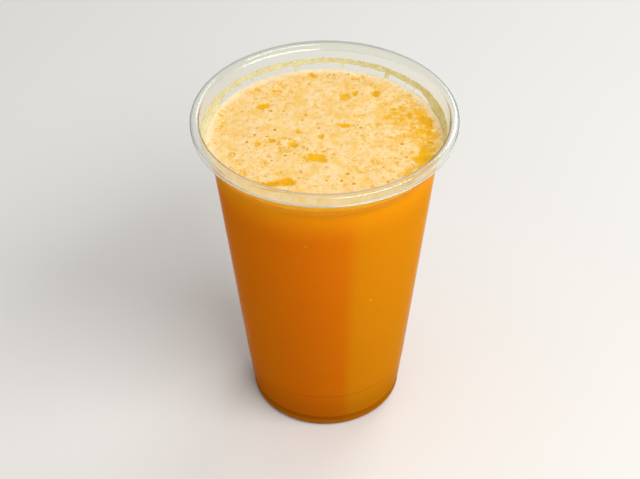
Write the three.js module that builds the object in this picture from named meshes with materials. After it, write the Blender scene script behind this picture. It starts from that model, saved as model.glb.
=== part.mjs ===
// A clear plastic cup of orange juice with a head of foam, standing on its foot ring.
// Millimetres, +Z up, origin at the centre of the circle that the foot ring stands on.

import * as THREE from "three";

// Driving dimensions of the cup
const HEIGHT = 128;
const RIM_RADIUS = 47.5;
const WALL = 0.6;
const SEGMENTS = 56;
const CURVE_STEPS = 3;
const SAME_PLACE = 0.001;

// Base: a raised panel inside a hollow foot ring
const PANEL_HEIGHT = 4;
const PANEL_RADIUS = 20.6;
const PANEL_ROUND = 0.9;
const FOOT_INNER_RADIUS = 22.2;
const FOOT_ROUND = 0.9;
const FOOT_OUTER_RADIUS = 24.4;
const HEEL_WIDTH = 3.55;
const HEEL_HEIGHT = 2;

// Wall, from the heel up: a cone, a small step for stacking, a longer cone, a shoulder and an upright band
const STEP_HEIGHT = 17;
const STEP_OUT = 0.25;
const STEP_RISE = 0.8;
const LOWER_TAPER = 0.11;
const UPPER_TAPER = 0.1095;
const SHOULDER_HEIGHT = 113.4;
const SHOULDER_OUT = 3.3;
const SHOULDER_RISE = 5.6;
const SHOULDER_ROUND = 2;
const BAND_TAPER = 0.12;

// Lip: the wall's end rolled outwards and down
const LIP_DROP = 4.4;
const LIP_TUCK = 0.5;
const LIP_INNER_ROUND = 1.1;
const LIP_OUTER_ROUND = 1.4;

// Contents
const FIT_GAP = 0.3;
const FILL_HEIGHT = 117.4;
const FOAM_DEPTH = 2.2;
const FOAM_RINGS = 15;
const MENISCUS_RISE = 0.45;
const MENISCUS_REACH = 1.6;
const MOUND_COUNT = 60;
const MOUND_HEIGHT = 0.3;
const MOUND_MEAN = 0.4;
const MOUND_REACH = [2.5, 6.5];
const FOAM_SEED = 41;

// Thin places in the foam where juice shows: centre x, centre y, half length, half width, depth
const THIN_PLACES = [
  [-3.6, -11.5, 5.0, 3.0, 0.5],
  [-16.8, -25.8, 8.0, 3.0, 0.45],
  [-21.8, 19.9, 3.8, 2.8, 0.4],
  [7.1, 7.6, 4.8, 2.4, 0.4],
  [9.6, 26.0, 5.0, 3.0, 0.4],
  [37.2, 2.5, 3.4, 8.0, 0.45],
  [33.6, -15.5, 3.6, 8.0, 0.45],
];

// Foam left on the wall above the surface
const TIDE_LOW = 119.8;
const TIDE_HIGH = 122.1;
const TIDE_THICKNESS = 0.45;
const TIDE_WAVES = [
  [2, 0.14],
  [3, 0.12],
  [5, 0.1],
  [9, 0.09],
  [14, 0.07],
];
const TIDE_SEED = 7;

// Returns a function that gives repeatable numbers from 0 to 1
function seededRandom(seed) {
  let state = seed;
  return () => {
    state = (state * 16807) % 2147483647;
    return state / 2147483647;
  };
}

function direction(from, to) {
  return to.clone().sub(from).normalize();
}

// Carries a line on to a corner and round it, leaving it on the way to the next corner
function roundCorner(line, corner, next, size) {
  const start = corner.clone().addScaledVector(direction(corner, line.currentPoint), size);
  const end = corner.clone().addScaledVector(direction(corner, next), size);
  line.lineTo(start.x, start.y);
  line.quadraticCurveTo(corner.x, corner.y, end.x, end.y);
}

// The middle of the cup's wall, as radius and height, from the base's centre out, up and over the lip
function wallMidline() {
  const half = WALL / 2;
  const corner = (radius, height) => new THREE.Vector2(radius, height);
  const panelEdge = corner(PANEL_RADIUS, PANEL_HEIGHT);
  const footInner = corner(FOOT_INNER_RADIUS, half);
  const footOuter = corner(FOOT_OUTER_RADIUS, half);
  const heel = corner(FOOT_OUTER_RADIUS + HEEL_WIDTH, half + HEEL_HEIGHT);
  const step = corner(heel.x + (STEP_HEIGHT - heel.y) * LOWER_TAPER, STEP_HEIGHT);
  const stepTop = corner(step.x + STEP_OUT, step.y + STEP_RISE);
  const shoulder = corner(stepTop.x + (SHOULDER_HEIGHT - stepTop.y) * UPPER_TAPER, SHOULDER_HEIGHT);
  const band = corner(shoulder.x + SHOULDER_OUT, shoulder.y + SHOULDER_RISE);
  const lipTop = HEIGHT - half;
  const lipInner = corner(band.x + (lipTop - band.y) * BAND_TAPER, lipTop);
  const lipOuter = corner(RIM_RADIUS - half, lipTop);
  const skirt = corner(lipOuter.x, HEIGHT - LIP_DROP + LIP_TUCK);
  const skirtEnd = corner(skirt.x - LIP_TUCK, HEIGHT - LIP_DROP);

  const line = new THREE.Path();
  line.moveTo(0, PANEL_HEIGHT);
  roundCorner(line, panelEdge, footInner, PANEL_ROUND);
  roundCorner(line, footInner, footOuter, FOOT_ROUND);
  line.lineTo(footOuter.x, footOuter.y);
  line.absellipse(footOuter.x, heel.y, HEEL_WIDTH, HEEL_HEIGHT, -Math.PI / 2, 0, false);
  line.lineTo(step.x, step.y);
  line.lineTo(stepTop.x, stepTop.y);
  roundCorner(line, shoulder, band, SHOULDER_ROUND);
  roundCorner(line, band, lipInner, SHOULDER_ROUND);
  roundCorner(line, lipInner, lipOuter, LIP_INNER_ROUND);
  roundCorner(line, lipOuter, skirt, LIP_OUTER_ROUND);
  line.lineTo(skirt.x, skirt.y);
  line.lineTo(skirtEnd.x, skirtEnd.y);
  const points = line.getPoints(CURVE_STEPS);
  return points.filter((point, i) => i === 0 || point.distanceTo(points[i - 1]) > SAME_PLACE);
}

// A line of points moved sideways by a distance, to the right of its way where the distance is positive
function offsetLine(points, distance) {
  const last = points.length - 1;
  return points.map((point, i) => {
    const arriving = i > 0 ? direction(points[i - 1], point) : direction(point, points[1]);
    const leaving = i < last ? direction(point, points[i + 1]) : arriving;
    const way = arriving.clone().add(leaving).normalize();
    const mitre = distance / way.dot(leaving);
    return new THREE.Vector2(point.x + way.y * mitre, point.y - way.x * mitre);
  });
}

// Turns a profile of radius and height about the upright axis
function turned(profile, segments = SEGMENTS) {
  const geometry = new THREE.LatheGeometry(profile, segments);
  geometry.rotateX(Math.PI / 2);
  return geometry;
}

// The radius of a rising line of points at a height
function radiusAt(points, height) {
  for (let i = points.length - 1; i > 0; i -= 1) {
    const low = points[i - 1];
    const high = points[i];
    if (low.y <= height && height <= high.y && low.y < high.y) {
      const share = (height - low.y) / (high.y - low.y);
      return THREE.MathUtils.lerp(low.x, high.x, share);
    }
  }
  throw new Error(`no wall at height ${height}`);
}

// The points of the line up to a height on the wall, ending exactly at that height
function upTo(points, height) {
  const top = points.findIndex((point) => point.x > FOOT_OUTER_RADIUS && point.y >= height);
  const kept = points.slice(0, top);
  kept.push(new THREE.Vector2(radiusAt(points.slice(0, top + 1), height), height));
  return kept;
}

function cupGeometry(midline) {
  const outside = offsetLine(midline, WALL / 2);
  const inside = offsetLine(midline, -WALL / 2);
  return turned([...outside, ...inside.reverse()]);
}

// Juice fills the foot ring and the cone up to just under the foam
function juiceGeometry(liner, top) {
  return turned([...upTo(liner, top), new THREE.Vector2(0, top)]);
}

// Height of the foam's surface above its level: mounds, thin places, and a rise where it clings to the wall
function foamRelief(edgeRadius) {
  const random = seededRandom(FOAM_SEED);
  const mounds = Array.from({ length: MOUND_COUNT }, () => {
    const radius = edgeRadius * Math.sqrt(random());
    const angle = random() * 2 * Math.PI;
    const reach = THREE.MathUtils.lerp(MOUND_REACH[0], MOUND_REACH[1], random());
    const height = MOUND_HEIGHT * (random() - MOUND_MEAN);
    return { x: radius * Math.cos(angle), y: radius * Math.sin(angle), reach, height };
  });
  return (x, y) => {
    const fromWall = edgeRadius - Math.hypot(x, y);
    let height = MENISCUS_RISE * Math.exp(-fromWall / MENISCUS_REACH);
    for (const mound of mounds) {
      const away = Math.hypot(x - mound.x, y - mound.y) / mound.reach;
      height += mound.height * Math.exp(-away * away);
    }
    for (const [centreX, centreY, halfLength, halfWidth, depth] of THIN_PLACES) {
      const away = Math.hypot((x - centreX) / halfLength, (y - centreY) / halfWidth);
      height -= depth * Math.exp(-away * away);
    }
    return height;
  };
}

// A thin disc of foam, flat underneath, its side along the wall and its top uneven
function foamGeometry(liner, low, high) {
  const edge = radiusAt(liner, high);
  const rings = Array.from(
    { length: FOAM_RINGS + 1 },
    (_, i) => new THREE.Vector2(edge * (1 - i / FOAM_RINGS), high),
  );
  const lowCentre = new THREE.Vector2(0, low);
  const lowEdge = new THREE.Vector2(radiusAt(liner, low), low);
  const geometry = turned([lowCentre, lowEdge, ...rings]);
  const place = geometry.getAttribute("position");
  const relief = foamRelief(edge);
  const halfway = (low + high) / 2;
  for (let i = 0; i < place.count; i += 1) {
    if (place.getZ(i) > halfway) {
      place.setZ(i, high + relief(place.getX(i), place.getY(i)));
    }
  }
  return geometry;
}

// An uneven band of dried foam round the wall's inside
function tideRingGeometry(liner) {
  const random = seededRandom(TIDE_SEED);
  const waves = TIDE_WAVES.map(([turns, size]) => {
    const lowPhase = random() * 2 * Math.PI;
    const highPhase = random() * 2 * Math.PI;
    return { turns, size, lowPhase, highPhase };
  });
  const lowOut = new THREE.Vector2(radiusAt(liner, TIDE_LOW), TIDE_LOW);
  const highOut = new THREE.Vector2(radiusAt(liner, TIDE_HIGH), TIDE_HIGH);
  const highIn = new THREE.Vector2(highOut.x - TIDE_THICKNESS, TIDE_HIGH);
  const lowIn = new THREE.Vector2(lowOut.x - TIDE_THICKNESS, TIDE_LOW);
  const geometry = turned([lowOut, highOut, highIn, lowIn, lowOut.clone()]);
  const place = geometry.getAttribute("position");
  const middle = (TIDE_LOW + TIDE_HIGH) / 2;
  for (let i = 0; i < place.count; i += 1) {
    const angle = Math.atan2(place.getY(i), place.getX(i));
    const isHigh = place.getZ(i) > middle;
    let height = place.getZ(i);
    for (const { turns, size, lowPhase, highPhase } of waves) {
      height += size * Math.sin(turns * angle + (isHigh ? highPhase : lowPhase));
    }
    place.setZ(i, height);
  }
  return geometry;
}

function namedMesh(name, geometry, look) {
  const mesh = new THREE.Mesh(geometry, new THREE.MeshStandardMaterial(look));
  mesh.name = name;
  return mesh;
}

function buildDrink() {
  const midline = wallMidline();
  const liner = offsetLine(midline, -WALL / 2 - FIT_GAP);
  const foamLow = FILL_HEIGHT - FOAM_DEPTH;
  const clear = { color: 0xe8eee2, roughness: 0.12, metalness: 0, transparent: true, opacity: 0.35 };
  const juice = { color: 0xd97808, roughness: 0.35, metalness: 0 };
  const foam = { color: 0xf9d99e, roughness: 0.7, metalness: 0 };
  const residue = { color: 0xdcd9a0, roughness: 0.75, metalness: 0 };

  const drink = new THREE.Group();
  drink.add(namedMesh("cup", cupGeometry(midline), clear));
  drink.add(namedMesh("juice", juiceGeometry(liner, foamLow - FIT_GAP), juice));
  drink.add(namedMesh("foam_head", foamGeometry(liner, foamLow, FILL_HEIGHT), foam));
  drink.add(namedMesh("foam_tide_ring", tideRingGeometry(liner), residue));
  return drink;
}

export default buildDrink();
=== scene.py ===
import math

import bpy
import numpy as np
from mathutils import Matrix, Vector


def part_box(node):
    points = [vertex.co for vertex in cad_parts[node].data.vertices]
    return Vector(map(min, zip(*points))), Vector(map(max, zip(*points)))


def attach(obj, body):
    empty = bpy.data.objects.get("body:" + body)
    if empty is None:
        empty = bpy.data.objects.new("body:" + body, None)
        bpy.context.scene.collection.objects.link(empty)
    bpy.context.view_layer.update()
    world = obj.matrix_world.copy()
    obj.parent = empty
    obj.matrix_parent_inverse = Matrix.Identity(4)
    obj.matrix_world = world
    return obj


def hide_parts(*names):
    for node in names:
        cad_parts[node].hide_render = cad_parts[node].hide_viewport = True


bl_info = {
    "name": "Cup of orange juice",
    "version": (1, 0, 0),
    "blender": (4, 5, 0),
    "location": "3D View > Sidebar > Juice",
    "description": "Models a clear plastic cup full of orange juice under a head of foam",
    "category": "Add Mesh",
}

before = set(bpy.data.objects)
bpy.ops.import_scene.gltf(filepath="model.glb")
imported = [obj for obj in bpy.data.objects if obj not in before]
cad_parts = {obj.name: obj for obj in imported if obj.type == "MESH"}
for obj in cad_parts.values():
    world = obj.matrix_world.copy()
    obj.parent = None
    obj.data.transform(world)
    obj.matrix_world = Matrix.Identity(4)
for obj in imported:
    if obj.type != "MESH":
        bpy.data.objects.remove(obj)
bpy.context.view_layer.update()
CUP_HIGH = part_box("cup")[1]
FOAM_LOW, FOAM_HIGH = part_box("foam_head")

MM = 0.001
FULL_TURN = 2 * math.pi
# Points of a turned piece that are closer together than this become one
SAME_PLACE = MM / 500

# What the foam's solid has above the mean level of its surface, in millimetres
FOAM_RELIEF = 0.6
FOAM_DEPTH = FOAM_HIGH.z / MM - FOAM_LOW.z / MM - FOAM_RELIEF
# In front, where y is less than this, juice wets the wall above the foam
FILM_EDGE = -20 * MM
# The side of the cup where the paler foam along the wall is widest, as an angle from +X
PALEST_MARGIN = math.radians(140)
# The side of the foam that is worn away in a crescent, and the side where the haze round it lies,
# as angles from +X in radians
CRESCENT_SIDE = -0.08
HAZE_SIDE = 0.02

# How strongly the plastic bends light, dry and with juice behind it, and how rough it is at its
# clearest and at its most scuffed
DRY_BENDING = 1.46
WET_BENDING = 1.012
PLASTIC_ROUGHNESS = (0.09, 0.11)
# The colours of the light that the plastic lets through to the drink, and of a fleck of pulp
LIGHT_THROUGH_PLASTIC = (0.95, 0.96, 0.94, 1)
PULP_FLECK = (0.95, 0.50, 0.06, 1)

# The photograph's view: place in metres, angles, and a lens and a sensor in millimetres
CAMERA_PLACE = (0, -0.514, 0.5002)
CAMERA_DOWN = math.radians(39.9)
CAMERA_YAW = math.radians(-0.22)
CAMERA_ROLL = math.radians(-0.49)
CAMERA_LENS = 101.25
CAMERA_SENSOR = 36
NEAREST_SEEN = 0.01

# Lamps, which point at the middle of the cup: place, width and depth, power and colour
LAMP_TARGET = (0, 0, 0.07)
LAMPS = {
    "key": ((0.54, -0.55, 0.88), (1.10, 0.48), 11.5, (1.0, 0.98, 0.95)),
    "back": ((0.45, 0.75, 0.70), (0.5, 0.5), 2.6, (1.0, 1.0, 1.0)),
}
# The studio's colour, its strength as it is seen and mirrored, and its strength on matt surfaces
SKY_COLOUR = (1.0, 0.99, 0.965, 1)
SKY_SEEN = 0.5
SKY_ON_MATT = 0.39
FLOOR_SIZE = 8
FLOOR_TONES = ((0.80, 0.80, 0.785, 1), (0.83, 0.83, 0.82, 1))

# Marks on the foam, in millimetres on its surface: centre x, centre y, half length, half width,
# turn in degrees, and how far the foam is worn away there from 0 to 1
AMBER_PATCHES = (
    (-3.8, -11.6, 4.1, 2.5, -6, 1.0),
    (2.9, -10.2, 1.6, 0.6, 0, 0.7),
    (-1.0, -6.9, 2.0, 0.7, 22, 0.75),
    (-1.4, 0.9, 1.2, 1.9, 0, 0.85),
    (-11.6, -3.6, 2.1, 1.7, 30, 0.95),
    (-14.2, -6.4, 2.4, 1.8, 10, 0.5),
    (-13.2, -0.6, 1.6, 0.6, 0, 0.7),
    (-18.4, -1.2, 1.7, 1.9, 0, 0.9),
    (-20.4, -4.1, 1.8, 0.8, 0, 0.7),
    (-24.4, -3.0, 2.2, 1.3, 0, 0.7),
    (-10.1, 3.9, 1.1, 1.4, 0, 0.75),
    (7.0, 7.6, 3.6, 1.2, -8, 0.95),
    (-21.8, 19.9, 2.9, 1.5, 35, 0.95),
    (-17.2, 29.6, 2.2, 1.0, 0, 0.8),
    (-15.6, 33.0, 1.5, 2.0, 0, 0.45),
    (8.0, 25.0, 2.6, 1.8, -15, 0.8),
    (11.4, 27.4, 1.3, 1.6, 0, 0.85),
    (18.5, 27.0, 2.0, 1.3, 0, 0.7),
    (21.4, 20.4, 1.6, 1.6, -30, 0.6),
    (26.0, 17.6, 3.0, 1.4, 0, 0.55),
    (12.0, 13.2, 2.4, 1.2, 15, 0.5),
    (11.2, 36.7, 1.6, 1.2, 30, 0.6),
    (-4.4, 39.0, 2.0, 2.0, 0, 0.55),
    (-19.4, -25.6, 5.4, 1.7, -5, 1.0),
    (-13.6, -25.4, 2.8, 2.7, 0, 0.95),
    (-17.8, -19.6, 3.2, 1.8, 0, 0.4),
    (-29.0, -21.0, 2.2, 1.6, -40, 0.45),
    (33.6, -0.1, 2.6, 0.5, -10, 0.95),
    (36.4, 9.6, 1.8, 5.0, 12, 1.0),
    (35.4, 3.2, 3.2, 1.3, -12, 1.0),
    (37.4, -3.0, 1.6, 1.3, 0, 0.9),
    (33.6, -12.6, 2.4, 3.6, -20, 1.0),
    (28.0, 12.0, 7.5, 5.5, -30, 0.55),
    (31.0, 3.0, 5.0, 6.0, 0, 0.40),
    (11.4, -12.8, 2.2, 0.7, 8, 0.5),
    (22.4, -5.3, 2.2, 1.6, 0, 0.3),
    (19.4, 1.8, 2.0, 1.0, 25, 0.4),
    (15.0, -17.6, 3.0, 1.8, 0, 0.2),
)
# Larger burst bubbles: centre x, centre y, radius
BURST_BUBBLES = (
    (-19.6, 16.8, 0.75),
    (-6.9, 14.2, 0.6),
    (-8.0, 11.1, 0.5),
    (-17.9, 5.2, 0.75),
    (-25.0, 2.3, 0.6),
    (-27.7, -1.9, 0.6),
    (-31.8, -8.9, 0.5),
    (-14.1, -10.2, 0.6),
    (-18.7, -13.0, 0.45),
    (7.8, -20.7, 0.7),
    (5.7, -24.6, 0.65),
    (9.8, -26.4, 0.7),
    (0.5, -24.6, 0.5),
    (21.6, -25.4, 0.6),
    (27.2, -3.6, 0.75),
    (28.6, -11.2, 0.6),
    (20.4, -16.9, 0.5),
    (12.8, 6.1, 0.65),
    (-2.2, 6.2, 0.55),
    (-8.5, -19.4, 0.5),
    (-7.4, -5.2, 0.45),
    (-6.2, -6.4, 0.45),
    (2.6, -11.6, 0.4),
    (24.6, -11.8, 0.5),
    (1.2, 38.6, 0.5),
    (3.4, 39.4, 0.5),
    (9.0, 39.6, 0.45),
)


def length(name, description, millimetres):
    """A size that a user may change, in metres, with its default in millimetres."""
    return bpy.props.FloatProperty(
        name=name,
        description=description,
        default=millimetres * MM,
        unit="LENGTH",
        subtype="DISTANCE",
        precision=5,
    )


def share(name, description, value):
    """A number without a unit that a user may change."""
    return bpy.props.FloatProperty(name=name, description=description, default=value, subtype="FACTOR")


def colour(name, description, value):
    """A linear colour that a user may change."""
    return bpy.props.FloatVectorProperty(
        name=name, description=description, default=value, subtype="COLOR", size=4, min=0, max=1
    )


class JUICE_PG_cup(bpy.types.PropertyGroup):
    """Sizes and finish of the clear cup"""

    height: length("Height", "From the foot ring to the top of the lip", CUP_HIGH.z / MM)
    rim_radius: length("Rim radius", "Radius of the rolled lip", CUP_HIGH.x / MM)
    wall: length("Wall", "Thickness of the plastic", 0.6)
    panel_height: length("Panel height", "Height of the raised base panel", 4)
    panel_radius: length("Panel radius", "Radius of the raised base panel", 20.6)
    foot_inner: length("Foot inner radius", "Radius where the foot ring turns down", 22.2)
    foot_outer: length("Foot outer radius", "Radius where the foot ring leaves the table", 24.4)
    foot_round: length("Foot rounding", "Rounding of the panel's and the foot's corners", 0.9)
    heel_width: length("Heel width", "How far the heel reaches out", 3.55)
    heel_height: length("Heel height", "How far the heel reaches up", 2)
    seam_height: length("Seam height", "Height of the crease where the base panel meets the wall", 5.1)
    seam_depth: length("Seam depth", "Depth of that crease", 0.16)
    seam_width: length("Seam width", "Half width of that crease", 0.7)
    step_height: length("Step height", "Height of the small stacking step", 17)
    step_out: length("Step", "How far the stacking step goes out", 0.25)
    step_rise: length("Step rise", "Height over which it does", 0.8)
    lower_taper: share("Lower taper", "Radius gained for each unit of height below the step", 0.11)
    upper_taper: share("Upper taper", "Radius gained for each unit of height above the step", 0.1095)
    shoulder_height: length("Shoulder height", "Height where the shoulder starts", 113.4)
    shoulder_out: length("Shoulder", "How far the shoulder goes out", 3.3)
    shoulder_rise: length("Shoulder rise", "Height over which it does", 5.6)
    shoulder_round: length("Shoulder rounding", "Rounding of the shoulder's corners", 2)
    band_taper: share("Band taper", "Radius gained for each unit of height above the shoulder", 0.12)
    lip_drop: length("Lip drop", "How far the rolled lip hangs down", 4.4)
    lip_tuck: length("Lip tuck", "How far the end of the lip turns in", 0.5)
    lip_inner_round: length("Lip inner rounding", "Rounding of the lip's inner edge", 1.1)
    lip_outer_round: length("Lip outer rounding", "Rounding of the lip's outer edge", 1.4)
    steps: bpy.props.IntProperty(name="Steps", description="Faces round the cup", default=360, min=24)
    tint: colour("Tint", "Colour of the plastic", (0.955, 0.97, 0.93, 1))


class JUICE_PG_drink(bpy.types.PropertyGroup):
    """Sizes and colours of the juice and its foam"""

    fill_height: length("Fill height", "Height of the foam's surface", 117.4)
    foam_depth: length("Foam depth", "Thickness of the head of foam", FOAM_DEPTH)
    wetting: length("Wetting", "How far the drink reaches into the wall, so that no air shows", 0.35)
    overlap: length("Overlap", "How far the juice reaches up into the foam", 0.4)
    meniscus_rise: length("Meniscus rise", "How far the foam climbs the wall", 0.4)
    meniscus_reach: length("Meniscus reach", "Width of that climb", 1.1)
    margin: length("Margin", "Width of the paler foam along the wall", 3.2)
    mound_height: length("Mounds", "Height of the foam's mounds", 0.22)
    patch_depth: length("Patch depth", "Depth of the places where the foam is worn away", 0.35)
    cells: bpy.props.IntProperty(name="Cells", description="Faces across the foam", default=290, min=20)
    small_bubbles: bpy.props.IntProperty(
        name="Small bubbles", description="Number of small pits", default=520
    )
    seed: bpy.props.IntProperty(name="Seed", description="Changes the random marks", default=41)
    # Painted light and painted shade: lit and shaded copies of one juice, picked by the side of the cup
    painted_lit_juice: colour("Lit juice", "Juice on the side that light comes through", (0.80, 0.270, 0.004, 1))
    painted_shaded_juice: colour("Deep juice", "Juice elsewhere behind the wall", (0.80, 0.178, 0.003, 1))
    # Painted light on the juice in the foot ring, below the shaded crease
    painted_foot_light: colour("Juice in the foot", "The thin juice inside the foot ring", (0.42, 0.115, 0.003, 1))
    # Painted shade: the colour that darkens the juice low down, in the crease above the foot and at the
    # stacking step
    painted_low_shade_juice: colour("Juice at the seam", "Juice behind the crease above the foot", (0.18, 0.050, 0.001, 1))
    cream: colour("Foam", "Colour of the foam", (0.94, 0.66, 0.295, 1))
    pale: colour("Margin foam", "Foam where it is thick, along the wall", (0.87, 0.76, 0.56, 1))
    honey: colour("Thin foam", "Foam that the juice tints", (0.87, 0.52, 0.090, 1))
    amber: colour("Worn foam", "Juice showing where the foam is worn away", (0.87, 0.46, 0.005, 1))
    deep_amber: colour("Bared juice", "Juice in the middle of the worn places", (0.77, 0.37, 0.003, 1))
    speck: colour("Speck", "Tiny open bubbles", (0.70, 0.37, 0.03, 1))
    pit: colour("Pit", "Inside of a burst bubble", (0.62, 0.27, 0.003, 1))
    # Also the colour of the painted glow in the juice just under the foam
    side: colour("Foam's side", "The foam's wetted side, seen through the wall", (0.93, 0.315, 0.005, 1))


class JUICE_PG_tide(bpy.types.PropertyGroup):
    """Sizes and colours of the foam that dried on the wall and of the film of juice in front"""

    low: length("Low edge", "Mean height of the ring's low edge", 119.8)
    high: length("High edge", "Mean height of the ring's high edge", 122.1)
    thickness: length("Thickness", "Thickness of the dried foam", 0.22)
    sunk: length("Sunk", "How far the dried foam reaches into the wall", 0.04)
    below: length("Below the foam", "How far the ring starts below the foam's surface", 0.2)
    spare: length("Spare height", "Height above the mean high edge, for its waves", 0.7)
    drips: length("Drips", "How far narrow drips hang down", 1.8)
    film_drop: length("Film drop", "How much lower the ring reaches in front and at the sides", 2.6)
    rows: bpy.props.IntProperty(name="Rows", description="Faces up the ring", default=32, min=4)
    steps: bpy.props.IntProperty(name="Steps", description="Faces round the ring", default=1100, min=24)
    seed: bpy.props.IntProperty(name="Seed", description="Changes the ring's edges", default=7)
    residue: colour("Residue", "Colour of the dried foam", (0.67, 0.57, 0.32, 1))
    pale_residue: colour("Pale residue", "Its colour where it is paler", (0.75, 0.67, 0.42, 1))
    film: colour("Film", "Colour of the juice that wets the front wall", (0.82, 0.29, 0.004, 1))
    thin_film: colour("Thin film", "Colour of that juice where it is thinner", (0.86, 0.36, 0.010, 1))
    brim: length("Brim", "Height where the film in front ends in dried foam", 121.2)


def rounded_corner(before, corner, after, size, steps):
    """Points of the curve that rounds a corner, the rounding starting and ending a size away from it."""
    start = corner + (before - corner).normalized() * size
    end = corner + (after - corner).normalized() * size
    shares = [i / steps for i in range(steps + 1)]
    return [start.lerp(corner, t).lerp(corner.lerp(end, t), t) for t in shares]


def wall_midline(cup):
    """The middle of the cup's wall, as radius and height, from the base's centre out, up and over the lip."""
    half = cup.wall / 2
    panel = Vector((cup.panel_radius, cup.panel_height))
    foot_inner = Vector((cup.foot_inner, half))
    foot_outer = Vector((cup.foot_outer, half))
    heel = Vector((cup.foot_outer + cup.heel_width, half + cup.heel_height))
    step = Vector((heel.x + (cup.step_height - heel.y) * cup.lower_taper, cup.step_height))
    step_top = step + Vector((cup.step_out, cup.step_rise))
    shoulder_radius = step_top.x + (cup.shoulder_height - step_top.y) * cup.upper_taper
    shoulder = Vector((shoulder_radius, cup.shoulder_height))
    band = shoulder + Vector((cup.shoulder_out, cup.shoulder_rise))
    lip_top = cup.height - half
    lip_inner = Vector((band.x + (lip_top - band.y) * cup.band_taper, lip_top))
    lip_outer = Vector((cup.rim_radius - half, lip_top))
    skirt = Vector((lip_outer.x, cup.height - cup.lip_drop + cup.lip_tuck))
    skirt_end = Vector((skirt.x - cup.lip_tuck, cup.height - cup.lip_drop))

    line = [Vector((0, cup.panel_height))]
    line += rounded_corner(line[0], panel, foot_inner, cup.foot_round, steps=5)
    line += rounded_corner(panel, foot_inner, foot_outer, cup.foot_round, steps=5)
    line += heel_curve(cup, Vector((foot_outer.x, heel.y)), steps=10)
    line += seam(cup, heel, step)
    line += [step, step_top]
    line += rounded_corner(step_top, shoulder, band, cup.shoulder_round, steps=6)
    line += rounded_corner(shoulder, band, lip_inner, cup.shoulder_round, steps=6)
    line += rounded_corner(band, lip_inner, lip_outer, cup.lip_inner_round, steps=7)
    line += rounded_corner(lip_inner, lip_outer, skirt, cup.lip_outer_round, steps=8)
    line += rounded_corner(lip_outer, skirt, skirt_end, cup.lip_tuck / 2, steps=3)
    line.append(skirt_end)
    return [p for i, p in enumerate(line) if i == 0 or (p - line[i - 1]).length > SAME_PLACE / 2]


def heel_curve(cup, centre, steps):
    """A quarter of an oval, from the foot ring out and up to the heel's end."""
    points = []
    for i in range(steps + 1):
        angle = math.pi / 2 * i / steps
        out, down = cup.heel_width * math.sin(angle), cup.heel_height * math.cos(angle)
        points.append(centre + Vector((out, -down)))
    return points


def seam(cup, heel, step):
    """A shallow crease round the wall at the height of the base panel."""
    points = []
    for half_widths in (-2, -1.5, -1, -0.5, 0, 0.5, 1, 1.5, 2):
        height = cup.seam_height + cup.seam_width * half_widths
        along = (height - heel.y) / (step.y - heel.y)
        dent = cup.seam_depth * math.exp(-(half_widths**2))
        points.append(Vector((heel.x + (step.x - heel.x) * along - dent, height)))
    return points


def offset_line(line, distance):
    """The line moved sideways, to the right of its way where the distance is positive."""
    moved = []
    for i, point in enumerate(line):
        arriving = (point - line[i - 1] if i else line[1] - point).normalized()
        leaving = (line[i + 1] - point).normalized() if i < len(line) - 1 else arriving
        way = (arriving + leaving).normalized()
        mitre = distance / way.dot(leaving)
        moved.append(Vector((point.x + way.y * mitre, point.y - way.x * mitre)))
    return moved


def radius_at(line, height):
    """The radius of the wall's line at a height."""
    for low, high in reversed(list(zip(line, line[1:]))):
        if low.y <= height <= high.y and low.y < high.y:
            return low.x + (high.x - low.x) * (height - low.y) / (high.y - low.y)
    raise ValueError(f"no wall at height {height}")


def smooth(edge0, edge1, value):
    """A smooth step from 0 at the first edge to 1 at the second."""
    t = np.clip((value - edge0) / (edge1 - edge0), 0, 1)
    return t * t * (3 - 2 * t)


def cloud(x, y, cell, seed):
    """Seeded noise from -1 to 1 whose lumps are about one cell wide."""
    size = 256
    lattice = np.random.default_rng(seed).uniform(-1, 1, (size, size))
    u, v = x / cell + size / 2, y / cell + size / 2
    i, j = np.floor(u).astype(int), np.floor(v).astype(int)
    s, t = smooth(0, 1, u - i), smooth(0, 1, v - j)
    i, j = i % size, j % size
    k, n = (i + 1) % size, (j + 1) % size
    low = lattice[i, j] * (1 - s) + lattice[k, j] * s
    high = lattice[i, n] * (1 - s) + lattice[k, n] * s
    return low * (1 - t) + high * t


def clouds(x, y, cell, seed):
    """Three sizes of noise in one, from about -1 to 1."""
    large, middle = cloud(x, y, cell, seed), cloud(x, y, cell / 2.1, seed + 1)
    return (large * 4 + middle * 2 + cloud(x, y, cell / 4.3, seed + 2)) / 5


def start_alone():
    """Leaves edit mode and selects nothing."""
    if bpy.context.object and bpy.context.object.mode != "OBJECT":
        bpy.ops.object.mode_set(mode="OBJECT")
    bpy.ops.object.select_all(action="DESELECT")


def drawn_line(name, line):
    """A new object whose mesh is one open line of radius and height, drawn by extruding a single vertex."""
    start_alone()
    bpy.ops.mesh.primitive_plane_add(size=MM, location=(line[0].x, 0, line[0].y))
    bpy.ops.object.transform_apply(location=True, rotation=True, scale=True)
    piece = bpy.context.object
    piece.name = piece.data.name = name
    bpy.ops.object.mode_set(mode="EDIT")
    bpy.ops.mesh.select_mode(type="VERT")
    bpy.ops.mesh.select_all(action="SELECT")
    bpy.ops.mesh.merge(type="CENTER")
    for low, high in zip(line, line[1:]):
        way = (high.x - low.x, 0, high.y - low.y)
        bpy.ops.mesh.extrude_region_move(TRANSFORM_OT_translate={"value": way})
    return piece


def turn_line(steps):
    """Turns the line that is being edited about the upright axis and joins the points that meet."""
    bpy.ops.mesh.select_all(action="SELECT")
    bpy.ops.mesh.spin(steps=steps, angle=FULL_TURN, center=(0, 0, 0), axis=(0, 0, 1))
    bpy.ops.mesh.select_all(action="SELECT")
    bpy.ops.mesh.remove_doubles(threshold=SAME_PLACE)
    bpy.ops.mesh.normals_make_consistent(inside=False)
    bpy.ops.object.mode_set(mode="OBJECT")


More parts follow.
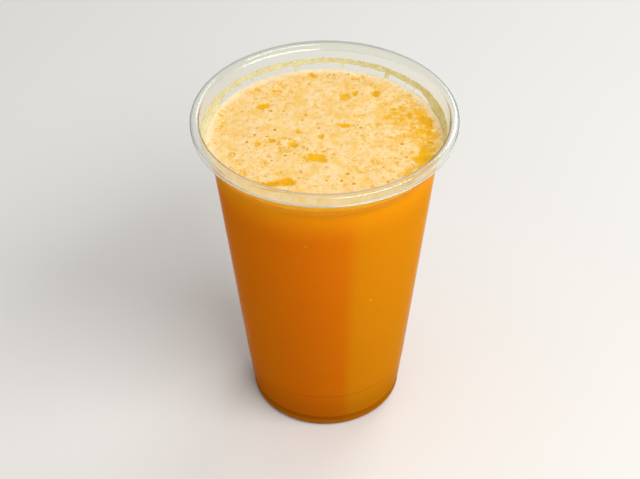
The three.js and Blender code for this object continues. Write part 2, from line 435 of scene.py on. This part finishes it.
def turned_piece(name, line, steps):
    """A solid turned about the upright axis from a line that starts and ends on it."""
    piece = drawn_line(name, line)
    turn_line(steps)
    bpy.ops.object.shade_smooth_by_angle(angle=math.radians(40))
    return piece


def select_faces(piece, chosen):
    """Selects, in edit mode, just the faces that are marked true."""
    bpy.ops.object.mode_set(mode="EDIT")
    bpy.ops.mesh.select_mode(type="FACE")
    bpy.ops.mesh.select_all(action="DESELECT")
    bpy.ops.object.mode_set(mode="OBJECT")
    piece.data.polygons.foreach_set("select", chosen)
    bpy.ops.object.mode_set(mode="EDIT")


def finished(piece, material, node):
    """Gives a piece its material, hangs it from the root body and hides the CAD part that it stands for."""
    piece.data.materials.clear()
    piece.data.materials.append(material)
    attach(piece, "root")
    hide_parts(node)


class Nodes:
    """A material's node tree, with short ways to add what the materials here share."""

    def __init__(self, name):
        self.material = bpy.data.materials.new(name)
        self.material.use_nodes = True
        self.tree = self.material.node_tree
        self.tree.nodes.clear()
        self.output = self.add("ShaderNodeOutputMaterial")
        self.place = self.add("ShaderNodeTexCoord").outputs["Object"]

    def add(self, kind, values=None, **settings):
        """A node with its settings and unlinked inputs, or linked ones where a value is a socket."""
        node = self.tree.nodes.new(kind)
        for key, value in settings.items():
            setattr(node, key, value)
        for key, value in (values or {}).items():
            if isinstance(value, bpy.types.NodeSocket):
                self.tree.links.new(value, node.inputs[key])
            else:
                node.inputs[key].default_value = value
        return node

    def noise(self, scale, detail=3.0, stretch=(1, 1, 1), rough=0.55):
        """Noise on the piece's own coordinates, from 0 to 1, with scale in lumps per metre."""
        mapping = self.add("ShaderNodeMapping", {"Vector": self.place, "Scale": stretch})
        values = {"Vector": mapping.outputs[0], "Scale": scale, "Detail": detail, "Roughness": rough}
        return self.add("ShaderNodeTexNoise", values).outputs[0]

    def ramp(self, value, low, high, start=0.0, end=1.0):
        """Maps a value from low..high to start..end with soft ends."""
        values = {0: value, 1: low, 2: high, 3: start, 4: end}
        return self.add("ShaderNodeMapRange", values, interpolation_type="SMOOTHSTEP").outputs[0]

    def math(self, operation, a, b=0.0):
        """The result of a calculation with one or two values."""
        return self.add("ShaderNodeMath", {0: a, 1: b}, operation=operation).outputs[0]

    def mix(self, factor, a, b):
        """A colour between a and b."""
        return self.add("ShaderNodeMix", {0: factor, 6: a, 7: b}, data_type="RGBA").outputs[2]

    def attribute(self, name):
        """A value that the mesh holds for each of its points."""
        return self.add("ShaderNodeAttribute", attribute_name=name).outputs["Fac"]

    def bump(self, height, distance, strength):
        """A normal for relief of a depth in metres."""
        values = {"Height": height, "Distance": distance, "Strength": strength}
        return self.add("ShaderNodeBump", values).outputs[0]

    def cells(self, scale):
        """The outputs of cells about points strewn at random, with scale in cells per metre."""
        return self.add("ShaderNodeTexVoronoi", {"Vector": self.place, "Scale": scale}).outputs

    def finish(self, shader):
        """The material, with this shader on its surface."""
        self.tree.links.new(shader.outputs[0], self.output.inputs["Surface"])
        return self.material


def clear_plastic(name, tint, bending):
    """Thin glossy plastic that bends what is seen through it and lets the lamps through to the drink."""
    nodes = Nodes(name)
    waves = nodes.noise(scale=28, detail=1, stretch=(1, 1, 0.3))
    scuffs = nodes.noise(scale=900, detail=4)
    plastic = nodes.add(
        "ShaderNodeBsdfPrincipled",
        {
            "Base Color": tint,
            "Roughness": nodes.ramp(scuffs, 0.35, 0.8, *PLASTIC_ROUGHNESS),
            "IOR": bending,
            "Transmission Weight": 1.0,
            "Normal": nodes.bump(waves, distance=0.1 * MM, strength=0.06),
        },
    )
    path = nodes.add("ShaderNodeLightPath").outputs
    passing = nodes.math("MAXIMUM", path["Is Shadow Ray"], path["Is Diffuse Ray"])
    open_way = nodes.add("ShaderNodeBsdfTransparent", {"Color": LIGHT_THROUGH_PLASTIC})
    values = {0: passing, 1: plastic.outputs[0], 2: open_way.outputs[0]}
    return nodes.finish(nodes.add("ShaderNodeMixShader", values))


def painted_light_share(nodes, axes):
    """How much painted light the juice's colour takes: most on the side that light comes through, with faint
    swirls.
    """
    # Painted light by the angle round the cup, rising just right of the front and fading out towards the back
    around = nodes.math("ARCTAN2", axes[0], nodes.math("MULTIPLY", axes[1], -1.0))
    rising = nodes.ramp(around, 0.17, 0.34)
    falling = nodes.ramp(around, 1.3, 2.9, 1.0, 0.0)
    level = nodes.math("MULTIPLY", nodes.math("MULTIPLY", rising, falling), 0.85)
    swirls = nodes.noise(scale=38, detail=4, stretch=(1, 1, 0.45))
    return nodes.math("ADD", level, nodes.ramp(swirls, 0.3, 0.7, 0.0, 0.12))


def painted_low_bands(nodes, axes, cup, drink):
    """Bands low on the cup: painted shade above the foot with a crisp shaded line at the crease, a fine
    painted shade line at the step, and painted light on the foot ring; for each a value, where the band is
    full and where it is gone, its strength and its colour."""
    seam = cup.seam_height
    from_step = nodes.math("ABSOLUTE", nodes.math("SUBTRACT", axes[2], cup.step_height + cup.step_rise / 2))
    return (
        (axes[2], seam, seam + 16 * MM, 0.32, drink.painted_low_shade_juice),
        (axes[2], seam + 0.1 * MM, seam + 0.5 * MM, 0.5, drink.painted_low_shade_juice),
        (from_step, 0.2 * MM, 0.6 * MM, 0.26, drink.painted_low_shade_juice),
        (axes[2], seam - 2.1 * MM, seam - 1.2 * MM, 1.0, drink.painted_foot_light),
    )


def pulp_share(nodes):
    """How much of a fleck of pulp shows, in a few cells chosen at random."""
    cells = nodes.cells(160.0)
    chosen = nodes.ramp(cells["Color"], 0.80, 0.84)
    fleck = nodes.math("MULTIPLY", nodes.ramp(cells["Distance"], 0.06, 0.12, 1.0, 0.0), chosen)
    return nodes.math("MULTIPLY", fleck, 0.6)


def cloudy_juice(cup, drink):
    """Cloudy juice against the wall, with painted light on one side, painted shade that deepens low down, a
    painted glow under the foam, and a few pale flecks of pulp.
    """
    nodes = Nodes("cloudy juice")
    axes = nodes.add("ShaderNodeSeparateXYZ", {0: nodes.place}).outputs
    # The juice's colour starts as painted light on one side and painted shade elsewhere
    juice = nodes.mix(painted_light_share(nodes, axes), drink.painted_shaded_juice, drink.painted_lit_juice)
    # Painted shade, deepest at the foot and gone at the top of the cup
    deepest_painted_shade = 0.34
    height = nodes.math("DIVIDE", axes[2], cup.height)
    dark = nodes.math("SUBTRACT", deepest_painted_shade, nodes.math("MULTIPLY", height, deepest_painted_shade))
    juice = nodes.mix(dark, juice, drink.painted_low_shade_juice)
    foam_base = drink.fill_height - drink.foam_depth
    # Painted light from the foam above: the juice just under the foam turns to the foam side's colour
    painted_foam_glow = nodes.ramp(axes[2], foam_base - 16 * MM, foam_base, 0.0, 0.85)
    juice = nodes.mix(painted_foam_glow, juice, drink.side)
    # Painted shade in the crease and at the step, and painted light on the foot ring
    for value, full, gone, strength, tone in painted_low_bands(nodes, axes, cup, drink):
        juice = nodes.mix(nodes.ramp(value, full, gone, strength, 0.0), juice, tone)
    juice = nodes.mix(pulp_share(nodes), juice, PULP_FLECK)
    body = nodes.add(
        "ShaderNodeBsdfPrincipled",
        {
            "Base Color": juice,
            "Roughness": 0.45,
            "Specular IOR Level": 0.0,
            "Subsurface Weight": 0.5,
            "Subsurface Radius": (1.0, 0.35, 0.06),
            "Subsurface Scale": 4 * MM,
            "Normal": nodes.bump(nodes.noise(scale=1400, detail=3), distance=0.04 * MM, strength=0.25),
        },
    )
    return nodes.finish(body)


def creamy(nodes, drink, lumps, mottle, grain):
    """The foam's colour where it is whole, with honey tones, a paler margin and tiny open bubbles."""
    cream = nodes.mix(nodes.ramp(grain, 0.3, 0.7, 0.0, 0.6), drink.cream, drink.pale)
    cream = nodes.mix(nodes.ramp(lumps, 0.42, 0.68, 0.0, 0.7), cream, drink.honey)
    speckled = nodes.math("ADD", nodes.math("MULTIPLY", mottle, 0.6), nodes.math("MULTIPLY", grain, 0.4))
    cream = nodes.mix(nodes.ramp(speckled, 0.46, 0.62, 0.0, 0.85), cream, drink.honey)
    cream = nodes.mix(nodes.attribute("margin"), cream, drink.pale)
    # Specks per metre, where a speck starts to fade and ends, which cells have none, and its strength
    for scale, fading, end, rarity, strength in ((330, 0.06, 0.13, 0.36, 0.85), (620, 0.10, 0.25, 0.34, 0.7)):
        cells = nodes.cells(scale)
        chosen = nodes.ramp(cells["Color"], rarity, rarity + 0.04)
        dot = nodes.math("MULTIPLY", nodes.ramp(cells["Distance"], fading, end, strength, 0.0), chosen)
        cream = nodes.mix(dot, cream, drink.speck)
    return cream


def foam_finish(drink):
    """Foam of tiny bubbles, cream on top, amber where it is worn thin and dark in the burst bubbles."""
    nodes = Nodes("juice foam")
    lumps = nodes.noise(scale=170, detail=4, rough=0.6)
    mottle = nodes.noise(scale=450, detail=5, rough=0.7)
    grain = nodes.noise(scale=1700, detail=2)
    cream = creamy(nodes, drink, lumps, mottle, grain)
    worn = nodes.attribute("worn")
    ragged = nodes.math("ADD", worn, nodes.ramp(mottle, 0.3, 0.7, -0.36, 0.36))
    ragged = nodes.math("ADD", ragged, nodes.ramp(grain, 0.3, 0.7, -0.20, 0.20))
    thin = nodes.math("MULTIPLY", nodes.ramp(ragged, 0.0, 0.5, 0.0, 0.8), nodes.ramp(worn, 0.0, 0.2))
    bared = nodes.math("MULTIPLY", nodes.ramp(ragged, 0.28, 0.74), nodes.ramp(worn, 0.0, 0.3))
    amber = nodes.mix(nodes.ramp(lumps, 0.35, 0.65), drink.amber, drink.deep_amber)
    tone = nodes.mix(bared, nodes.mix(thin, cream, drink.honey), amber)
    tone = nodes.mix(nodes.attribute("pit"), tone, drink.pit)
    tone = nodes.mix(nodes.attribute("side"), tone, drink.side)
    surface = nodes.add(
        "ShaderNodeBsdfPrincipled",
        {
            "Base Color": tone,
            "Roughness": nodes.ramp(bared, 0.0, 1.0, 0.6, 0.3),
            "Specular IOR Level": 0.08,
            "Subsurface Weight": 0.25,
            "Subsurface Radius": (1.0, 0.45, 0.15),
            "Subsurface Scale": 0.8 * MM,
            "Normal": nodes.bump(nodes.cells(1500.0)["Distance"], distance=0.12 * MM, strength=0.4),
        },
    )
    return nodes.finish(surface)


def residue_finish(tide):
    """Dried foam on the wall, thin enough to see through in places, and a film of juice in front."""
    nodes = Nodes("dried foam")
    clots = nodes.noise(scale=420, detail=4)
    patchy = nodes.noise(scale=200, detail=4)
    axes = nodes.add("ShaderNodeSeparateXYZ", {0: nodes.place}).outputs
    mottle = nodes.ramp(nodes.noise(scale=160, detail=3), 0.35, 0.7)
    dried = nodes.mix(mottle, tide.residue, tide.pale_residue)
    wetted = nodes.mix(nodes.ramp(patchy, 0.3, 0.7), tide.film, tide.thin_film)
    across = nodes.math("ADD", axes[1], nodes.ramp(patchy, 0.3, 0.7, -5 * MM, 5 * MM))
    in_front = nodes.ramp(across, FILM_EDGE - 4 * MM, FILM_EDGE + 4 * MM, 1.0, 0.0)
    height = nodes.math("ADD", axes[2], nodes.ramp(clots, 0.3, 0.7, -0.3 * MM, 0.3 * MM))
    above_film = nodes.ramp(height, tide.brim, tide.brim + 0.5 * MM)
    tone = nodes.mix(in_front, dried, nodes.mix(above_film, wetted, dried))
    opaque = nodes.math("MAXIMUM", nodes.ramp(clots, 0.3, 0.6, 0.60, 0.92), in_front)
    lamp_share = nodes.math("MULTIPLY", nodes.add("ShaderNodeLightPath").outputs["Is Shadow Ray"], 0.75)
    surface = nodes.add(
        "ShaderNodeBsdfPrincipled",
        {
            "Base Color": tone,
            "Roughness": 0.6,
            "Specular IOR Level": 0.2,
            "Subsurface Weight": 1.0,
            "Subsurface Radius": (1.0, 0.8, 0.5),
            "Subsurface Scale": 1.5 * MM,
            "Alpha": nodes.math("MULTIPLY", opaque, nodes.math("SUBTRACT", 1.0, lamp_share)),
            "Normal": nodes.bump(clots, distance=0.1 * MM, strength=0.4),
        },
    )
    return nodes.finish(surface)


class JUICE_OT_clear_cup(bpy.types.Operator):
    """Adds the clear plastic cup, turned from the section of its wall"""

    bl_idname = "juice.clear_cup"
    bl_label = "Clear cup"

    def execute(self, context):
        cup = context.scene.juice_cup
        midline = wall_midline(cup)
        outside = offset_line(midline, cup.wall / 2)
        inside = offset_line(midline, -cup.wall / 2)
        piece = turned_piece("clear_cup", outside + inside[::-1], cup.steps)
        finished(piece, clear_plastic("clear plastic", cup.tint, DRY_BENDING), "cup")
        self.wet(piece, clear_plastic("wetted plastic", cup.tint, WET_BENDING), context.scene)
        return {"FINISHED"}

    def wet(self, piece, material, scene):
        """Gives the wall the weaker gloss of plastic with juice behind it: all round under the foam's
        surface, and up to the ring's top in front."""
        piece.data.materials.append(material)
        centres = np.array([face.center for face in piece.data.polygons])
        level = np.where(centres[:, 1] < FILM_EDGE, scene.juice_tide.high, scene.juice_drink.fill_height)
        piece.active_material_index = 1
        select_faces(piece, centres[:, 2] < level)
        bpy.ops.object.material_slot_assign()
        bpy.ops.object.mode_set(mode="OBJECT")


class JUICE_OT_juice(bpy.types.Operator):
    """Adds the juice, which fills the foot ring and the cone and wets the wall"""

    bl_idname = "juice.juice"
    bl_label = "Juice"

    def execute(self, context):
        cup, drink = context.scene.juice_cup, context.scene.juice_drink
        wetted = offset_line(wall_midline(cup), drink.wetting - cup.wall / 2)
        level = drink.fill_height - drink.foam_depth
        line = []
        for point in wetted:
            if point.x > cup.foot_outer and point.y >= level:
                break
            line.append(point)
        edge = radius_at(wetted, level)
        top = level + drink.overlap
        line += [Vector((edge, level)), Vector((edge - drink.overlap, top)), Vector((0, top))]
        piece = turned_piece("juice_body", line, cup.steps)
        finished(piece, cloudy_juice(cup, drink), "juice")
        return {"FINISHED"}


class JUICE_OT_foam(bpy.types.Operator):
    """Adds the head of foam, with mounds, worn places, burst bubbles and the climb at the wall"""

    bl_idname = "juice.foam"
    bl_label = "Foam"

    def execute(self, context):
        cup, drink = context.scene.juice_cup, context.scene.juice_drink
        wetted = offset_line(wall_midline(cup), drink.wetting - cup.wall / 2)
        edge = radius_at(wetted, drink.fill_height + drink.meniscus_rise)
        piece = self.disc(drink, edge)
        x, y, z, marks = foam_surface(piece, drink, edge)
        piece.data.vertices.foreach_set("co", np.stack([x, y, z], 1).astype(np.float32).ravel())
        for name, values in marks.items():
            layer = piece.data.attributes.new(name, "FLOAT", "POINT")
            layer.data.foreach_set("value", values.astype(np.float32))
        on_top = len(piece.data.vertices)
        self.side_and_base(drink, wetted, edge)
        side = np.ones(len(piece.data.vertices), np.float32)
        side[:on_top] = marks["side"]
        piece.data.attributes["side"].data.foreach_set("value", side)
        bpy.ops.object.shade_smooth_by_angle(angle=math.radians(60))
        finished(piece, foam_finish(drink), "foam_head")
        return {"FINISHED"}

    def disc(self, drink, edge):
        """A grid whose square outline is pulled out to the round of the wall."""
        start_alone()
        bpy.ops.mesh.primitive_grid_add(x_subdivisions=drink.cells, y_subdivisions=drink.cells, size=2)
        piece = bpy.context.object
        piece.name = piece.data.name = "foam_head_surface"
        place = np.empty(len(piece.data.vertices) * 3, np.float32)
        piece.data.vertices.foreach_get("co", place)
        u, v, _ = place.reshape(-1, 3).astype(float).T
        x, y = edge * u * np.sqrt(1 - v * v / 2), edge * v * np.sqrt(1 - u * u / 2)
        round_place = np.stack([x, y, np.zeros_like(x)], 1)
        piece.data.vertices.foreach_set("co", round_place.astype(np.float32).ravel())
        return piece

    def side_and_base(self, drink, wetted, edge):
        """Carries the disc's edge down along the wall, and closes it underneath."""
        bpy.ops.object.mode_set(mode="EDIT")
        bpy.ops.mesh.select_all(action="SELECT")
        bpy.ops.mesh.region_to_loop()
        level, radius = drink.fill_height + drink.meniscus_rise, edge
        rings = 5
        for _ in range(rings):
            lower = level - (drink.meniscus_rise + drink.foam_depth) / rings
            narrower = radius_at(wetted, lower)
            bpy.ops.mesh.extrude_region_move(TRANSFORM_OT_translate={"value": (0, 0, lower - level)})
            scale = narrower / radius
            bpy.ops.transform.resize(value=(scale, scale, 1), center_override=(0, 0, 0))
            level, radius = lower, narrower
        bpy.ops.mesh.edge_face_add()
        bpy.ops.mesh.select_all(action="SELECT")
        bpy.ops.mesh.normals_make_consistent(inside=False)
        bpy.ops.object.mode_set(mode="OBJECT")


def worn_patches(x, y):
    """How far the marked patches wear the foam away, from 0 to 1."""
    worn = np.zeros_like(x)
    full, gone = 0.4, 1.45
    for centre_x, centre_y, half_long, half_wide, degrees, depth in AMBER_PATCHES:
        turn = math.radians(degrees)
        dx, dy = x - centre_x * MM, y - centre_y * MM
        along = (dx * math.cos(turn) + dy * math.sin(turn)) / (half_long * MM)
        across = (dy * math.cos(turn) - dx * math.sin(turn)) / (half_wide * MM)
        worn = np.maximum(worn, depth * smooth(gone, full, np.hypot(along, across)))
    return worn


def worn_crescent(x, y, from_wall, ragged_from_wall, seed):
    """How far the foam is worn away in a streaky crescent at the right, and in the haze round it."""
    around = np.arctan2(y, x)
    streaks = clouds(x * 0.6, y * 1.3, 3 * MM, seed)
    core = smooth(4.4 * MM, 0.6 * MM, np.abs(ragged_from_wall - 6.0 * MM + 1.4 * MM * streaks))
    core *= smooth(0.85, 0.50, np.abs(around - CRESCENT_SIDE))
    haze = smooth(15 * MM, 4 * MM, ragged_from_wall) * smooth(2.2 * MM, 4.4 * MM, from_wall)
    haze *= smooth(1.05, 0.5, np.abs(around - HAZE_SIDE))
    return np.maximum(core * (0.60 + 0.30 * streaks), haze * (0.34 + 0.40 * streaks))


def pale_margin(x, y, from_wall, drink):
    """How pale the foam is along the wall, from 0 to 1, in a margin of uneven width."""
    around = np.arctan2(y, x)
    narrowing = 1.0 + 0.4 * clouds(x, y, 9 * MM, drink.seed + 30) - 0.30 * np.cos(around - PALEST_MARGIN)
    margin = smooth(drink.margin, drink.margin * 0.25, from_wall * np.clip(narrowing, 0.7, 1.6))
    return np.clip(margin * (0.75 + 0.35 * clouds(x, y, 1.4 * MM, drink.seed + 33)), 0, 1)


def burst_relief(x, y, bubbles):
    """The relief of burst bubbles, each a hole with a raised lip, and how dark their pits are."""
    relief, pit = np.zeros_like(x), np.zeros_like(x)
    for centre_x, centre_y, size in bubbles:
        near = np.hypot(x - centre_x * MM, y - centre_y * MM) / (size * MM)
        hole = smooth(1.0, 0.35, near)
        lip = np.exp(-(((near - 1.35) / 0.35) ** 2))
        relief += (0.10 * lip - 0.40 * hole) * size * MM
        pit = np.maximum(pit, smooth(1.2, 0.5, near) * min(1.0, 0.55 + size))
    return relief, np.clip(pit, 0, 1)


def foam_surface(piece, drink, edge):
    """Places of the foam's points, and how worn, pitted, pale and wetted each of them is."""
    place = np.empty(len(piece.data.vertices) * 3, np.float32)
    piece.data.vertices.foreach_get("co", place)
    x, y, _ = place.reshape(-1, 3).astype(float).T
    seed = drink.seed
    from_wall = edge - np.hypot(x, y)
    inside = smooth(0.0, 2.0 * MM, from_wall)

    ragged_x = x + 1.3 * MM * clouds(x, y, 3.1 * MM, seed) + 0.5 * MM * cloud(x, y, 0.9 * MM, seed + 3)
    ragged_y = y + 0.9 * MM * clouds(x, y, 2.6 * MM, seed + 1) + 0.4 * MM * cloud(x, y, 0.8 * MM, seed + 4)
    ragged_from_wall = edge - np.hypot(ragged_x, ragged_y)
    crescent = worn_crescent(x, y, from_wall, ragged_from_wall, seed + 9)
    flecks = 0.34 * smooth(0.35, 0.8, clouds(x, y, 2.8 * MM, seed + 12))
    worn = np.maximum(np.maximum(worn_patches(ragged_x, ragged_y), crescent), flecks)
    worn = np.clip(worn, 0, 1) * inside

    bursts, pit = burst_relief(x, y, list(BURST_BUBBLES) + small_bubbles(drink, edge))
    height = drink.fill_height + drink.meniscus_rise * np.exp(-from_wall / drink.meniscus_reach)
    height += drink.mound_height * clouds(x, y, 11 * MM, seed + 20) * inside
    height += 0.05 * MM * clouds(x, y, 1.6 * MM, seed + 24)
    height += bursts - drink.patch_depth * worn

    in_front = smooth(FILM_EDGE + 5 * MM, FILM_EDGE - 5 * MM, y)
    side = smooth(1.3 * MM, 0.5 * MM, from_wall) * in_front
    margin = pale_margin(x, y, from_wall, drink)
    return x, y, height, {"worn": worn, "pit": pit, "margin": margin, "side": side}


def small_bubbles(drink, edge):
    """Seeded small pits, spread evenly over the foam: centre x, centre y and radius in millimetres."""
    random = np.random.default_rng(drink.seed)
    clear_of_wall = 1.5
    smallest, spread = 0.16, 0.26
    found = []
    while len(found) < drink.small_bubbles:
        radius = (edge / MM - clear_of_wall) * math.sqrt(random.uniform(0, 1))
        angle = random.uniform(0, FULL_TURN)
        size = smallest + spread * random.uniform(0, 1) ** 3
        found.append((radius * math.cos(angle), radius * math.sin(angle), size))
    return found


class JUICE_OT_tide_ring(bpy.types.Operator):
    """Adds the uneven ring of foam that dried on the wall above the surface"""

    bl_idname = "juice.tide_ring"
    bl_label = "Dried foam ring"

    def execute(self, context):
        cup, tide = context.scene.juice_cup, context.scene.juice_tide
        wall = offset_line(wall_midline(cup), tide.sunk - cup.wall / 2)
        low = context.scene.juice_drink.fill_height - tide.below
        high = tide.high + tide.spare
        heights = [low + (high - low) * i / tide.rows for i in range(tide.rows + 1)]
        piece = drawn_line("dried_foam_ring", [Vector((radius_at(wall, z), z)) for z in heights])
        turn_line(tide.steps)
        self.clear_faces(piece, tide)
        bpy.ops.object.modifier_add(type="SOLIDIFY")
        solidify = piece.modifiers[-1]
        solidify.thickness = tide.thickness
        solidify.offset = -1
        bpy.ops.object.modifier_apply(modifier=solidify.name)
        bpy.ops.object.shade_smooth_by_angle(angle=math.radians(50))
        finished(piece, residue_finish(tide), "foam_tide_ring")
        return {"FINISHED"}

    def clear_faces(self, piece, tide):
        """Deletes the faces outside the ring's ragged edges and in its small holes."""
        centres = np.array([face.center for face in piece.data.polygons])
        around, height = np.arctan2(centres[:, 1], centres[:, 0]), centres[:, 2]
        rim = np.hypot(centres[:, 0], centres[:, 1]).mean()
        x, y = np.cos(around) * rim, np.sin(around) * rim
        waves = clouds(x, y, 14 * MM, tide.seed)
        low = tide.low + 0.35 * MM * waves + 0.40 * MM * clouds(x, y, 2.4 * MM, tide.seed + 1)
        at_sides, in_front = smooth(0.80, 0.97, np.abs(np.cos(around))), smooth(0.1, -0.2, np.sin(around))
        filmed = np.maximum(at_sides, in_front)
        low -= tide.film_drop * filmed
        low -= tide.drips * smooth(0.45, 0.7, clouds(x, y, 1.3 * MM, tide.seed + 5))
        high = tide.high + 0.20 * MM * waves + 0.22 * MM * clouds(x, y, 3.5 * MM, tide.seed + 2)
        holes = clouds(x * 3 + height * 2, height * 3 + y, 1.5 * MM, tide.seed + 3) > 0.68 + 0.4 * filmed
        select_faces(piece, (height < low) | (height > high) | holes)
        bpy.ops.mesh.delete(type="FACE")
        bpy.ops.object.mode_set(mode="OBJECT")


def area_light(name, place, size, power, tone):
    """A soft rectangular lamp that points at the middle of the cup."""
    data = bpy.data.lights.new(name, "AREA")
    data.shape = "RECTANGLE"
    data.size, data.size_y = size
    data.energy = power
    data.color = tone
    lamp = bpy.data.objects.new(name, data)
    lamp.location = place
    lamp.rotation_euler = (Vector(LAMP_TARGET) - Vector(place)).to_track_quat("-Z", "Y").to_euler()
    bpy.context.scene.collection.objects.link(lamp)


class JUICE_OT_stage(bpy.types.Operator):
    """Adds the pale floor, the lamps and the camera"""

    bl_idname = "juice.stage"
    bl_label = "Stage"

    def execute(self, context):
        self.floor()
        self.lamps(context.scene)
        self.camera(context.scene)
        return {"FINISHED"}

    def floor(self):
        """A wide pale floor with very faint clouds of tone."""
        start_alone()
        bpy.ops.mesh.primitive_plane_add(size=FLOOR_SIZE, location=(0, 0, 0))
        floor = bpy.context.object
        floor.name = "floor"
        nodes = Nodes("pale floor")
        tone = nodes.mix(nodes.noise(scale=6), *FLOOR_TONES)
        values = {"Base Color": tone, "Roughness": 0.55, "Specular IOR Level": 0.3}
        floor.data.materials.append(nodes.finish(nodes.add("ShaderNodeBsdfPrincipled", values)))

    def lamps(self, scene):
        """Two soft lamps in a plain studio, whose light on matt surfaces is a little weaker."""
        world = bpy.data.worlds.new("studio")
        world.use_nodes = True
        sky = world.node_tree.nodes["Background"]
        sky.inputs["Color"].default_value = SKY_COLOUR
        path = world.node_tree.nodes.new("ShaderNodeLightPath").outputs
        strength = world.node_tree.nodes.new("ShaderNodeMapRange")
        strength.inputs["To Min"].default_value = SKY_SEEN
        strength.inputs["To Max"].default_value = SKY_ON_MATT
        world.node_tree.links.new(path["Is Diffuse Ray"], strength.inputs["Value"])
        world.node_tree.links.new(strength.outputs[0], sky.inputs["Strength"])
        scene.world = world
        for name, lamp in LAMPS.items():
            area_light(name, *lamp)
        scene.view_settings.view_transform = "Standard"

    def camera(self, scene):
        """The photograph's view."""
        data = bpy.data.cameras.new("camera")
        data.sensor_width = CAMERA_SENSOR
        data.lens = CAMERA_LENS
        data.clip_start = NEAREST_SEEN
        camera = bpy.data.objects.new("camera", data)
        level, sunk = math.cos(CAMERA_DOWN), math.sin(CAMERA_DOWN)
        forward = Vector((math.sin(CAMERA_YAW) * level, math.cos(CAMERA_YAW) * level, -sunk))
        right = Vector((math.cos(CAMERA_YAW), -math.sin(CAMERA_YAW), 0))
        up = right.cross(forward)
        cos_roll, sin_roll = math.cos(CAMERA_ROLL), math.sin(CAMERA_ROLL)
        right, up = right * cos_roll + up * sin_roll, up * cos_roll - right * sin_roll
        turn = Matrix((right, up, -forward)).transposed().to_4x4()
        camera.matrix_world = Matrix.Translation(CAMERA_PLACE) @ turn
        scene.collection.objects.link(camera)
        scene.camera = camera


class JUICE_PT_panel(bpy.types.Panel):
    """Lists the pieces of the drink and their sizes"""

    bl_label = "Cup of juice"
    bl_idname = "JUICE_PT_panel"
    bl_space_type = "VIEW_3D"
    bl_region_type = "UI"
    bl_category = "Juice"

    def draw(self, context):
        layout = self.layout
        for operator in OPERATORS:
            layout.operator(operator.bl_idname)
        for group in (context.scene.juice_cup, context.scene.juice_drink, context.scene.juice_tide):
            box = layout.box()
            for name in group.__annotations__:
                box.prop(group, name)


OPERATORS = (JUICE_OT_clear_cup, JUICE_OT_juice, JUICE_OT_foam, JUICE_OT_tide_ring, JUICE_OT_stage)
GROUPS = {"juice_cup": JUICE_PG_cup, "juice_drink": JUICE_PG_drink, "juice_tide": JUICE_PG_tide}


def register():
    for group in GROUPS.values():
        bpy.utils.register_class(group)
    for operator in OPERATORS:
        bpy.utils.register_class(operator)
    bpy.utils.register_class(JUICE_PT_panel)
    for name, group in GROUPS.items():
        setattr(bpy.types.Scene, name, bpy.props.PointerProperty(type=group))


def unregister():
    for name in GROUPS:
        delattr(bpy.types.Scene, name)
    bpy.utils.unregister_class(JUICE_PT_panel)
    for item in [*reversed(OPERATORS), *reversed(GROUPS.values())]:
        bpy.utils.unregister_class(item)


def main():
    register()
    bpy.ops.juice.stage()
    bpy.ops.juice.juice()
    bpy.ops.juice.foam()
    bpy.ops.juice.tide_ring()
    bpy.ops.juice.clear_cup()


if __name__ == "__main__":
    main()
